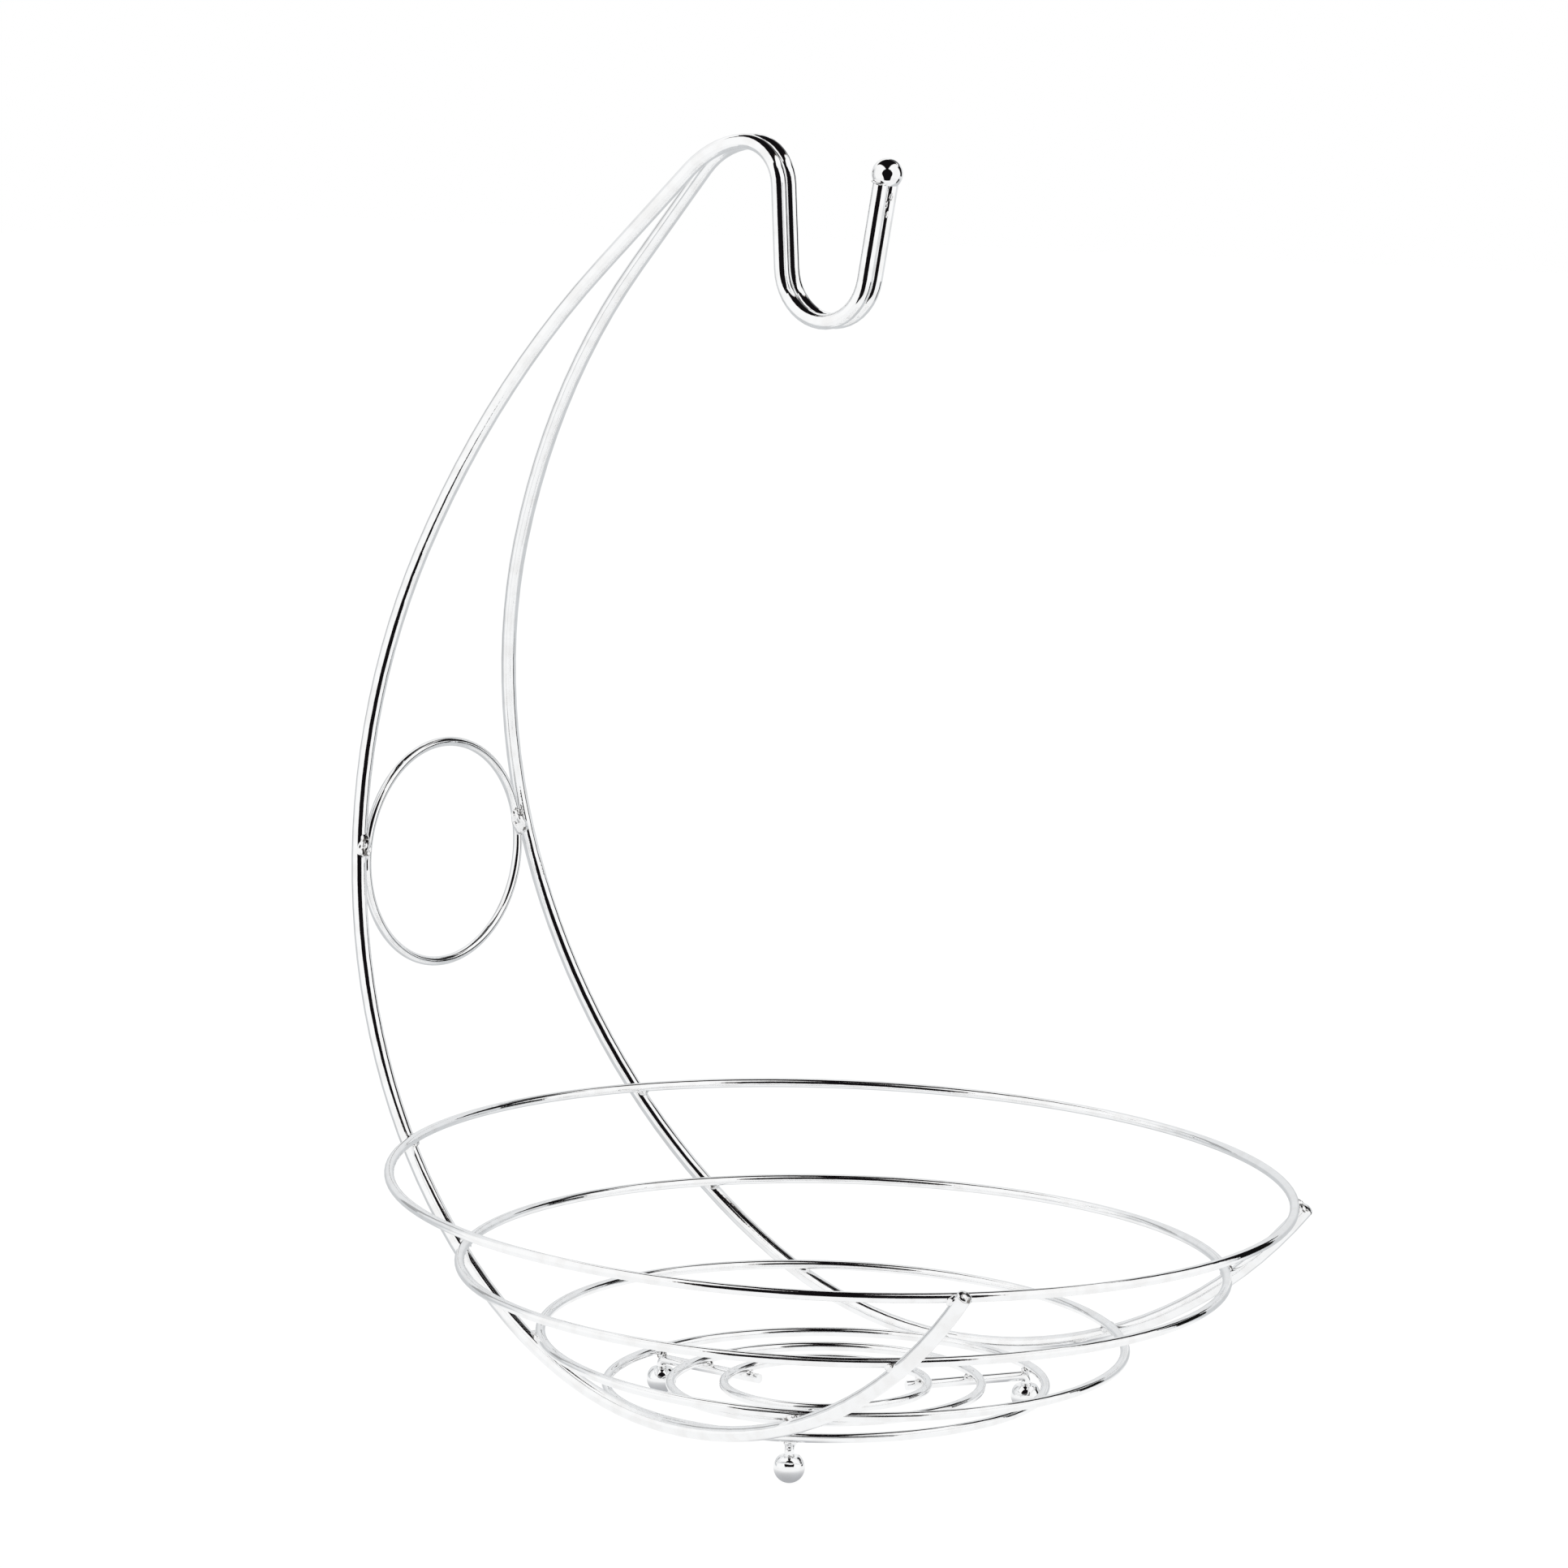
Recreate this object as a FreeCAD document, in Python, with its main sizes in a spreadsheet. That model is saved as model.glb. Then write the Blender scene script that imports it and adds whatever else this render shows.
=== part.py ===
import FreeCAD, Part
import math
import os
import Sketcher
from FreeCAD import Placement, Rotation, Vector

# Wire fruit bowl with a hanger for bananas, bent and welded from round steel wire.
#
# Two mirrored wires each start at the rim, run down and under the bowl as a rib, climb
# behind it as a wide crescent and end side by side in one hook.  The right one is cut a
# little shorter at the rim.  Three rings and three base rings lie inside the ribs, three
# spokes tie the base rings together, and each spoke ends on a ball foot.
#
# Millimetres and degrees.  +Z is up, +X is the way the hook reaches, and Y = 0 is the
# mirror plane of the two wires.  The origin is on the axis of the base rings, on the
# surface that the ball feet stand on.

SIZES = (
    ("overall_height", 401.0, "table to the top of the hook's crest"),
    ("weld_gap", 0.05, "space left between two pieces that a weld joins"),
    ("hanger_wire_dia", 4.8, "wire of the two hanger wires"),
    ("ring_wire_dia", 3.0, "wire of the rings and the foot spokes"),
    ("ball_dia", 9.5, "foot balls and hook ball"),
    ("foot_ball_flat", 1.25, "depth ground off a foot ball where its spoke stands"),
    ("hook_ball_flat", 1.75, "depth ground off the hook ball where the wires end"),
    ("outer_base_radius", 68.5, "centre line of the outer base ring"),
    ("middle_base_radius", 48.5, "centre line of the middle base ring"),
    ("inner_base_radius", 31.8, "centre line of the inner base ring"),
    ("spoke_inner_radius", 27.0, "inner end of a foot spoke, from the axis"),
    ("spoke_inside_bend", 0.5, "inside radius of a spoke's bend down to its ball"),
    ("spoke_end_length", 0.85, "straight end of a spoke below its bend"),
    ("foot_inset", 0.8, "centre of a foot inside the outer base ring's centre line"),
    ("rim_radius", 140.0, "centre line of the rim ring"),
    ("rim_height", 78.9, "centre of the rim ring above the table"),
    ("rim_tilt", 2.35, "the rim is lower on the hook's side"),
    ("upper_ring_height", 52.9, "centre of the upper ring above the table"),
    ("upper_ring_tilt", 1.4, "the upper ring is lower on the hook's side"),
    ("lower_ring_height", 29.3, "centre of the lower ring above the table"),
    ("lower_ring_tilt", 2.2, "the lower ring is lower on the hook's side"),
    ("rib_splay_angle", 6.8, "turn of each front rib away from the mirror plane"),
    ("right_rib_drop", 3.3, "the right rib ends this much lower than the left one"),
    ("rib_low_offset", 3.7, "lowest point of a rib, behind the axis"),
    ("rib_back_radius", 135.0, "bend of the rib behind its lowest point"),
    ("rib_back_angle", 31.5, "turn of the rib before the crescent starts"),
    ("crescent_radius", 192.5, "main bend of the crescent"),
    ("crescent_angle", 80.0, "turn of the crescent's main bend"),
    ("sweep_angle", 23.5, "turn of the flatter bend above the crescent"),
    ("neck_length", 45.0, "straight run below the crest"),
    ("crest_back_radius", 32.6, "rear bend of the crest"),
    ("crest_front_radius", 13.5, "front bend of the crest"),
    ("hook_leg_angle", 3.0, "forward lean of the hook's leg"),
    ("hook_leg_length", 25.4, "straight run down from the crest"),
    ("hook_bend_radius", 16.5, "bend that the bananas hang in"),
    ("hook_tip_angle", 11.3, "forward lean of the hook's tip"),
    ("hook_tip_length", 29.6, "straight run up to the hook ball"),
    ("ornament_height", 165.3, "centre of the ornament ring above the table"),
)

FOOT_AZIMUTHS = {"back": 180.0, "left": -60.0, "right": 60.0}
UP = Vector(0, 0, 1)
FORWARD = Vector(1, 0, 0)
FULL_TURN = 360.0

# Starting guesses for the values that follow from the seats, and how they are settled.
FIRST_LEAN = 11.0
FIRST_SWEEP_RADIUS = 275.0
FIRST_RIB_RADIUS = 160.0
FIRST_SHIFT = 5.0
FIRST_ORNAMENT_RADIUS = 36.0
PROBE = 0.01
SETTLED = 1e-6
MOST_ROUNDS = 60
LONGEST_STEP = 10.0


def fill_sheet(doc):
    """Write the driving sizes to the document's sheet, one row each."""
    sheet = doc.addObject("Spreadsheet::Sheet", "Sizes")
    for row, (name, value, note) in enumerate(SIZES, start=1):
        sheet.set(f"A{row}", name)
        sheet.set(f"B{row}", str(value))
        sheet.set(f"C{row}", note)
        sheet.setAlias(f"B{row}", name)
    doc.recompute()
    return sheet


def add_seat_cells(doc, sheet, seats):
    """Write the sizes that follow from the seats below the driving ones."""
    for row, (name, value) in enumerate(seats.items(), start=len(SIZES) + 2):
        sheet.set(f"A{row}", name)
        sheet.set(f"B{row}", repr(value))
        sheet.set(f"C{row}", "follows from the pieces that it touches")
        sheet.setAlias(f"B{row}", name)
    doc.recompute()


class WirePath:
    """Centre line of a bent wire: straight runs and tangent arcs, end to end."""

    def __init__(self, start, heading, side):
        """Start at a point, with a heading and the side that the first bend turns to."""
        self.point = start
        self.heading = heading
        self.side = side
        self.edges = []

    def run(self, length):
        """Add a straight run."""
        end = self.point + self.heading * length
        self.edges.append(Part.LineSegment(self.point, end).toShape())
        self.point = end

    def bend(self, radius, turn):
        """Add an arc that turns by so many degrees towards the side."""
        middle = self._along(radius, turn / 2)
        end = self._along(radius, turn)
        self.edges.append(Part.Arc(self.point, middle, end).toShape())
        angle = math.radians(turn)
        heading = self.heading * math.cos(angle) + self.side * math.sin(angle)
        self.side = self.side * math.cos(angle) - self.heading * math.sin(angle)
        self.heading = heading
        self.point = end

    def _along(self, radius, turn):
        angle = math.radians(turn)
        ahead = self.heading * (radius * math.sin(angle))
        return self.point + ahead + self.side * (radius * (1 - math.cos(angle)))

    def wire(self):
        """Return the path so far as one wire."""
        return Part.Wire(self.edges)

    def length(self):
        """Return the length of the path so far."""
        return sum(edge.Length for edge in self.edges)


def settle(misfit, first, second):
    """Return the pair of values at which both misfits vanish."""
    for _ in range(MOST_ROUNDS):
        miss_a, miss_b = misfit(first, second)
        if max(abs(miss_a), abs(miss_b)) < SETTLED:
            return first, second
        a_first, b_first = misfit(first + PROBE, second)
        a_second, b_second = misfit(first, second + PROBE)
        a_by_first = (a_first - miss_a) / PROBE
        b_by_first = (b_first - miss_b) / PROBE
        a_by_second = (a_second - miss_a) / PROBE
        b_by_second = (b_second - miss_b) / PROBE
        scale = a_by_first * b_by_second - a_by_second * b_by_first
        step_first = (miss_a * b_by_second - miss_b * a_by_second) / scale
        step_second = (miss_b * a_by_first - miss_a * b_by_first) / scale
        first -= max(-LONGEST_STEP, min(LONGEST_STEP, step_first))
        second -= max(-LONGEST_STEP, min(LONGEST_STEP, step_second))
    raise ValueError("these sizes leave no place where both seats touch")


def tilted(shift, height, tilt):
    """Return the placement of a ring that is lower on the hook's side."""
    return Placement(Vector(shift, 0, height), Rotation(Vector(0, 1, 0), tilt))


def circle_at(radius, place):
    """Return a ring's centre line."""
    circle = Part.Circle(Vector(), UP, radius).toShape()
    circle.Placement = place
    return circle


def clearance(path, circle):
    """Return how far a path lies outside a circle, and the path's nearest point."""
    distance, pairs, _ = path.distToShape(circle)
    on_path, on_circle = pairs[0]
    centre = circle.Placement.Base
    outside = (on_path - centre).Length > (on_circle - centre).Length
    return (distance if outside else -distance), on_path


def derived_sizes(sheet):
    """Return the sizes that follow from the driving ones by sums alone."""
    spoke_bend = sheet.ring_wire_dia / 2 + sheet.spoke_inside_bend
    foot_flat_height = sheet.ball_dia - sheet.foot_ball_flat
    spoke_end_height = foot_flat_height + sheet.weld_gap
    spoke_height = spoke_end_height + sheet.spoke_end_length + spoke_bend
    return {
        "spoke_bend_radius": spoke_bend,
        "spoke_height": spoke_height,
        "foot_radius": sheet.outer_base_radius - sheet.foot_inset,
        "base_height": spoke_height + sheet.ring_wire_dia + sheet.weld_gap,
        "contact": (sheet.hanger_wire_dia + sheet.ring_wire_dia) / 2 + sheet.weld_gap,
        "wire_offset": (sheet.hanger_wire_dia + sheet.weld_gap) / 2,
    }


def rib_low_point(sheet, seats):
    """Return a left rib's lowest point, beside the outer base ring, and its heading."""
    splay = math.radians(sheet.rib_splay_angle)
    heading = Vector(math.cos(splay), -math.sin(splay), 0)
    beside = (sheet.outer_base_radius + seats["contact"]) / math.cos(splay)
    behind = -sheet.rib_low_offset
    return Vector(behind, -beside - behind * math.tan(splay), seats["base_height"]), heading


def front_rib(sheet, seats, radius, shift, drop=0.0):
    """Return a left rib's path from its lowest point up to the rim's front, less a drop."""
    start, heading = rib_low_point(sheet, seats)
    path = WirePath(start, heading, UP)
    turn = 0.0
    # The rib's end follows the top of the tilted rim, so its turn and its end settle.
    for _ in range(MOST_ROUNDS):
        end_x = start.x + radius * math.sin(turn) * heading.x
        rim_top = sheet.rim_height - (end_x - shift) * math.tan(math.radians(sheet.rim_tilt))
        rise = rim_top + sheet.ring_wire_dia / 2 - drop - start.z
        turn = math.acos(1 - rise / radius)
    path.bend(radius, math.degrees(turn))
    return path


def rear_path(sheet, seats, lean, sweep_radius):
    """Return the left wire's path from its lowest point back and up to the crest."""
    start, heading = rib_low_point(sheet, seats)
    path = WirePath(start, heading * -1, UP)
    path.bend(sheet.rib_back_radius, sheet.rib_back_angle)
    # The crescent's plane is turned about the rib's end, so that the wires meet at the crest.
    inward = path.heading.cross(path.side)
    if inward.y < 0:
        inward = inward * -1
    angle = math.radians(lean)
    path.side = path.side * math.cos(angle) + inward * math.sin(angle)
    path.bend(sheet.crescent_radius, sheet.crescent_angle)
    path.bend(sweep_radius, sheet.sweep_angle)
    path.run(sheet.neck_length)
    straightening = math.degrees(math.atan2(-path.heading.y, path.side.y))
    path.bend(sheet.crest_back_radius, straightening % 180)
    return path


def add_hook(sheet, path):
    """Go on from the crest, beside the mirror plane, through the hook to its tip."""
    climb = math.degrees(math.atan2(path.heading.z, path.heading.x))
    path.side = Vector(path.heading.z, 0, -path.heading.x)
    path.bend(sheet.crest_front_radius, climb + 90 - sheet.hook_leg_angle)
    path.run(sheet.hook_leg_length)
    path.side = path.side * -1
    path.bend(sheet.hook_bend_radius, 180 - sheet.hook_leg_angle - sheet.hook_tip_angle)
    path.run(sheet.hook_tip_length)


def crest_misfit(sheet, seats):
    """Return the misfit of the crest: its distance from the mirror plane and its height."""
    def misfit(lean, sweep_radius):
        path = rear_path(sheet, seats, lean, sweep_radius)
        beside = path.point.y + seats["wire_offset"]
        climb = math.atan2(path.heading.z, path.heading.x)
        rise = sheet.crest_front_radius * (1 - math.cos(climb))
        top = path.point.z + rise + sheet.hanger_wire_dia / 2
        return beside, top - sheet.overall_height
    return misfit


def rim_misfit(sheet, seats, rear):
    """Return the misfit of the rim: its clearance to the rib's front end and to its back."""
    def misfit(rib_radius, shift):
        place = tilted(shift, sheet.rim_height, sheet.rim_tilt)
        rim = circle_at(sheet.rim_radius, place)
        front = front_rib(sheet, seats, rib_radius, shift).wire()
        front_gap = clearance(front, rim)[0] - seats["contact"]
        return front_gap, clearance(rear, rim)[0] - seats["contact"]
    return misfit


def ring_misfit(seats, front, rear, height, tilt):
    """Return the misfit of a lower ring: its clearance to the rib before and behind."""
    def misfit(radius, shift):
        ring = circle_at(radius, tilted(shift, height, tilt))
        front_gap = clearance(front, ring)[0] - seats["contact"]
        return front_gap, clearance(rear, ring)[0] - seats["contact"]
    return misfit


def ornament_misfit(sheet, seats, rear):
    """Return the misfit of the ornament ring: its clearance, and its plane's place."""
    def misfit(radius, plane_x):
        centre = Vector(plane_x, 0, sheet.ornament_height)
        ring = circle_at(radius, Placement(centre, Rotation(UP, FORWARD)))
        gap, touch = clearance(rear, ring)
        return gap - seats["contact"], touch.x - plane_x
    return misfit


def hanger_paths(sheet, seats):
    """Settle the left hanger wire; return its front, the shorter front and the rear."""
    lean, sweep_radius = settle(crest_misfit(sheet, seats), FIRST_LEAN, FIRST_SWEEP_RADIUS)
    rear = rear_path(sheet, seats, lean, sweep_radius)
    rib_radius, shift = settle(
        rim_misfit(sheet, seats, rear.wire()), FIRST_RIB_RADIUS, FIRST_SHIFT
    )
    seats["crescent_lean"] = lean
    seats["sweep_radius"] = sweep_radius
    seats["rib_front_radius"] = rib_radius
    seats["rim_shift"] = shift
    front = front_rib(sheet, seats, rib_radius, shift)
    shorter = front_rib(sheet, seats, rib_radius, shift, sheet.right_rib_drop)
    return front, shorter, rear


def settle_rings(sheet, seats, front, rear):
    """Settle the radius and place of each ring that the hanger wires decide."""
    upper = ring_misfit(seats, front, rear, sheet.upper_ring_height, sheet.upper_ring_tilt)
    lower = ring_misfit(seats, front, rear, sheet.lower_ring_height, sheet.lower_ring_tilt)
    between = (sheet.rim_radius + sheet.outer_base_radius) / 2
    seats["upper_ring_radius"], seats["upper_ring_shift"] = settle(
        upper, between, FIRST_SHIFT
    )
    seats["lower_ring_radius"], seats["lower_ring_shift"] = settle(
        lower, between, FIRST_SHIFT
    )
    behind = rear.BoundBox.XMin
    seats["ornament_radius"], seats["ornament_shift"] = settle(
        ornament_misfit(sheet, seats, rear), FIRST_ORNAMENT_RADIUS, behind
    )


def hanger_wire(doc, sheet, label, front, rear):
    """Sweep a left hanger wire along its whole path, from the rim to the hook's tip."""
    name = label.title().replace("_", "")
    path = doc.addObject("Part::Feature", f"{name}Path")
    path.Shape = Part.Wire(Part.__sortEdges__(front.edges + rear.edges))
    section = doc.addObject("Part::Circle", f"{name}Section")
    section.setExpression("Radius", "Sizes.hanger_wire_dia / 2")
    section.Placement = Placement(front.point, Rotation(UP, front.heading))
    wire = doc.addObject("Part::Sweep", name)
    wire.Sections = [section]
    wire.Spine = (path, [f"Edge{k}" for k in range(1, len(path.Shape.Edges) + 1)])
    wire.Solid = True
    wire.Frenet = False
    wire.Label = label
    doc.recompute()
    area = math.pi * sheet.hanger_wire_dia ** 2 / 4
    expected = area * (front.length() + rear.length())
    if abs(wire.Shape.Volume / expected - 1) > 1e-4:
        raise ValueError("the hanger wire's volume is not its section times its length")
    return wire


def mirrored_wire(doc, label, source):
    """Mirror a left hanger wire to the other side."""
    wire = doc.addObject("Part::Mirroring", label.title().replace("_", ""))
    wire.Source = source
    wire.Normal = Vector(0, 1, 0)
    wire.Base = Vector(0, 0, 0)
    wire.Label = label
    return wire


def ring(doc, label, radius, height, shift=None, tilt=None):
    """Make a level or tilted ring of the ring wire, from the sheet's sizes."""
    torus = doc.addObject("Part::Torus", label.title().replace("_", ""))
    torus.Label = label
    torus.Placement = Placement(Vector(), Rotation(Vector(0, 1, 0), 1))
    torus.setExpression("Radius1", f"Sizes.{radius}")
    torus.setExpression("Radius2", "Sizes.ring_wire_dia / 2")
    torus.setExpression("Placement.Base.z", f"Sizes.{height}")
    torus.setExpression("Placement.Base.x", f"Sizes.{shift}" if shift else "0")
    torus.setExpression("Placement.Rotation.Angle", f"Sizes.{tilt}" if tilt else "0")
    return torus


def ornament_ring(doc):
    """Make the upright ring that sits between the two crescent wires."""
    torus = ring(doc, "ornament_ring", "ornament_radius", "ornament_height", "ornament_shift")
    torus.setExpression("Placement.Rotation.Angle", "90")
    return torus


def origin_plane(body, role):
    """Return one of a body's own origin planes."""
    return next(plane for plane in body.Origin.OriginFeatures if plane.Role == role)


def new_sketch(body, name, role):
    """Add a sketch to a body, on one of its own origin planes."""
    sketch = body.newObject("Sketcher::SketchObject", name)
    sketch.AttachmentSupport = [(origin_plane(body, role), "")]
    sketch.MapMode = "FlatFace"
    return sketch


def bind(sketch, kind, places, expression, value):
    """Add a sketch dimension and tie it to the sheet."""
    index = sketch.addConstraint(Sketcher.Constraint(kind, *places, value))
    sketch.setExpression(f"Constraints[{index}]", expression)


def foot_spoke(doc, sheet, seats, side):
    """Make a spoke: a straight wire under the base rings, bent down to its ball."""
    body = doc.addObject("PartDesign::Body", f"FootSpoke{side.title()}")
    body.Label = f"foot_spoke_{side}"
    inner = sheet.spoke_inner_radius
    bend = seats["spoke_bend_radius"]
    level = seats["spoke_height"]
    reach = seats["foot_radius"]
    turn_x = reach - bend

    path = new_sketch(body, f"SpokePath{side.title()}", "XZ_Plane")
    line = path.addGeometry(Part.LineSegment(Vector(inner, level, 0), Vector(turn_x, level, 0)))
    bend_circle = Part.Circle(Vector(turn_x, level - bend, 0), UP, bend)
    arc = path.addGeometry(Part.ArcOfCircle(bend_circle, 0, math.pi / 2))
    end = path.addGeometry(
        Part.LineSegment(
            Vector(reach, level - bend, 0), Vector(reach, level - bend - sheet.spoke_end_length, 0)
        )
    )
    path.addConstraint(Sketcher.Constraint("Horizontal", line))
    path.addConstraint(Sketcher.Constraint("Vertical", end))
    path.addConstraint(Sketcher.Constraint("Tangent", line, 2, arc, 2))
    path.addConstraint(Sketcher.Constraint("Tangent", arc, 1, end, 1))
    bind(path, "DistanceY", (end, 2, end, 1), "Sizes.spoke_end_length", sheet.spoke_end_length)
    bind(path, "Radius", (arc,), "Sizes.spoke_bend_radius", bend)
    bind(path, "DistanceX", (-1, 1, line, 1), "Sizes.spoke_inner_radius", inner)
    bind(path, "DistanceY", (-1, 1, line, 1), "Sizes.spoke_height", level)
    bind(path, "DistanceX", (-1, 1, arc, 1), "Sizes.foot_radius", reach)

    section = new_sketch(body, f"SpokeSection{side.title()}", "YZ_Plane")
    section.setExpression("AttachmentOffset.Base.z", "Sizes.spoke_inner_radius")
    round_wire = Part.Circle(Vector(0, level, 0), UP, sheet.ring_wire_dia / 2)
    circle = section.addGeometry(round_wire)
    section.addConstraint(Sketcher.Constraint("PointOnObject", circle, 3, -2))
    bind(section, "Diameter", (circle,), "Sizes.ring_wire_dia", sheet.ring_wire_dia)
    bind(section, "DistanceY", (-1, 1, circle, 3), "Sizes.spoke_height", level)
    doc.recompute()

    pipe = body.newObject("PartDesign::AdditivePipe", f"SpokeSweep{side.title()}")
    pipe.Profile = section
    pipe.Spine = (path, ["Edge1", "Edge2", "Edge3"])
    body.Tip = pipe
    body.Placement = Placement(Vector(), Rotation(UP, FOOT_AZIMUTHS[side]))
    return body


def ball(doc, sheet, label, flat):
    """Turn a ball about its own centre, with a flat ground on its top."""
    body = doc.addObject("PartDesign::Body", label.title().replace("_", ""))
    body.Label = label
    radius = sheet.ball_dia / 2
    flat_height = radius - getattr(sheet, flat)
    flat_radius = math.sqrt(radius ** 2 - flat_height ** 2)

    profile = new_sketch(body, f"{body.Name}Profile", "XZ_Plane")
    outline = Part.ArcOfCircle(
        Part.Circle(Vector(), UP, radius), -math.pi / 2, math.atan2(flat_height, flat_radius)
    )
    arc = profile.addGeometry(outline)
    top = profile.addGeometry(
        Part.LineSegment(Vector(flat_radius, flat_height, 0), Vector(0, flat_height, 0))
    )
    axis = profile.addGeometry(
        Part.LineSegment(Vector(0, flat_height, 0), Vector(0, -radius, 0))
    )
    profile.addConstraint(Sketcher.Constraint("Coincident", arc, 2, top, 1))
    profile.addConstraint(Sketcher.Constraint("Coincident", top, 2, axis, 1))
    profile.addConstraint(Sketcher.Constraint("Coincident", axis, 2, arc, 1))
    profile.addConstraint(Sketcher.Constraint("Coincident", arc, 3, -1, 1))
    profile.addConstraint(Sketcher.Constraint("Horizontal", top))
    profile.addConstraint(Sketcher.Constraint("PointOnObject", axis, 1, -2))
    profile.addConstraint(Sketcher.Constraint("PointOnObject", axis, 2, -2))
    bind(profile, "Radius", (arc,), "Sizes.ball_dia / 2", radius)
    above = f"Sizes.ball_dia / 2 - Sizes.{flat}"
    bind(profile, "DistanceY", (-1, 1, top, 1), above, flat_height)
    doc.recompute()

    turned = body.newObject("PartDesign::Revolution", f"{body.Name}Turned")
    turned.Profile = profile
    turned.ReferenceAxis = (profile, ["V_Axis"])
    turned.Angle = FULL_TURN
    body.Tip = turned
    return body


def foot_ball(doc, sheet, seats, side):
    """Stand a ball on the table, under the bent end of its spoke."""
    body = ball(doc, sheet, f"foot_ball_{side}", "foot_ball_flat")
    place = Rotation(UP, FOOT_AZIMUTHS[side]).multVec(FORWARD * seats["foot_radius"])
    body.Placement = Placement(place + UP * (sheet.ball_dia / 2), Rotation())
    return body


def hook_ball(doc, sheet, rear):
    """Set a ball on the two wire ends at the hook's tip, its flat against them."""
    body = ball(doc, sheet, "hook_ball", "hook_ball_flat")
    tip = Vector(rear.point.x, 0, rear.point.z)
    past = sheet.weld_gap + sheet.ball_dia / 2 - sheet.hook_ball_flat
    body.Placement = Placement(tip + rear.heading * past, Rotation(UP, rear.heading * -1))
    return body


def check_document(doc, parts):
    """Stop if any object failed or any part is not one valid solid."""
    for item in doc.Objects:
        if "Invalid" in item.State or "Error" in item.State:
            raise RuntimeError(f"{item.Label} failed: {item.State}")
    for item in parts:
        shape = item.Shape
        if shape.isNull() or not shape.isValid() or len(shape.Solids) != 1:
            raise RuntimeError(f"{item.Label} is not one valid solid")


def main():
    doc = FreeCAD.newDocument("FruitBowl")
    sheet = fill_sheet(doc)
    seats = derived_sizes(sheet)
    front, shorter_front, rear = hanger_paths(sheet, seats)
    settle_rings(sheet, seats, front.wire(), rear.wire())
    add_seat_cells(doc, sheet, seats)
    add_hook(sheet, rear)

    left = hanger_wire(doc, sheet, "hanger_wire_left", front, rear)
    unmirrored = hanger_wire(doc, sheet, "shorter_wire", shorter_front, rear)
    right = mirrored_wire(doc, "hanger_wire_right", unmirrored)
    parts = [left, right, hook_ball(doc, sheet, rear), ornament_ring(doc)]
    parts.append(ring(doc, "rim_ring", "rim_radius", "rim_height", "rim_shift", "rim_tilt"))
    for level in ("upper", "lower"):
        name = f"{level}_ring"
        sizes = [f"{name}_{size}" for size in ("radius", "height", "shift", "tilt")]
        parts.append(ring(doc, name, *sizes))
    for name in ("outer", "middle", "inner"):
        parts.append(ring(doc, f"base_ring_{name}", f"{name}_base_radius", "base_height"))
    for side in FOOT_AZIMUTHS:
        parts.append(foot_spoke(doc, sheet, seats, side))
        parts.append(foot_ball(doc, sheet, seats, side))
    doc.recompute()
    check_document(doc, parts)

    os.makedirs("parts", exist_ok=True)
    for item in parts:
        item.Shape.exportStep(f"parts/{item.Label}.step")
    for name, value in seats.items():
        print(f"{name} {value:.3f}")


main()
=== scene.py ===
import logging
import math
from dataclasses import dataclass, field
from enum import Enum
from typing import Any, Callable, Iterable

import bmesh
import bpy
from mathutils import Matrix, Vector, noise
from mathutils.bvhtree import BVHTree


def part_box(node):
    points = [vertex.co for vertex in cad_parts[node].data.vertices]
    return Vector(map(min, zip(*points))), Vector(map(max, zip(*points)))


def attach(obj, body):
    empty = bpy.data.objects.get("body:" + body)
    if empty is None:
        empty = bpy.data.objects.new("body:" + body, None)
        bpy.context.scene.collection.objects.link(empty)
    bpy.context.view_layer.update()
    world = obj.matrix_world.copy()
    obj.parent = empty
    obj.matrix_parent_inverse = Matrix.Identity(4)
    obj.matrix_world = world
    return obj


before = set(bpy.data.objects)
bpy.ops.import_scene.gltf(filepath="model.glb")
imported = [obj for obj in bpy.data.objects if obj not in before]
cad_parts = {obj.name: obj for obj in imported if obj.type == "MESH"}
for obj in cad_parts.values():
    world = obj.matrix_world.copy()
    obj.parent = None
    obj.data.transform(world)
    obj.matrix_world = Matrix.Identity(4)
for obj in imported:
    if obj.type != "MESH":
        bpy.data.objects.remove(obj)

log = logging.getLogger("fruit_bowl")
MM = 0.001
MM_PER_METRE = 1000
ROOT = "root"
IMAGE_PIXELS = 1932
SENSOR_MM = 36.0
TOUCHING = 0.3 * MM
SAME_PLACE = 1e-7
NOISE_MIDDLE = 0.5
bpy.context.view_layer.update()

Colour = tuple[float, float, float, float]
Span = tuple[float, float]


class Side(Enum):
    """Where each foot stands."""

    BACK = "back"
    LEFT = "left"
    RIGHT = "right"

    def __str__(self) -> str:
        """The side as the nodes' names have it."""
        return self.value


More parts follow.
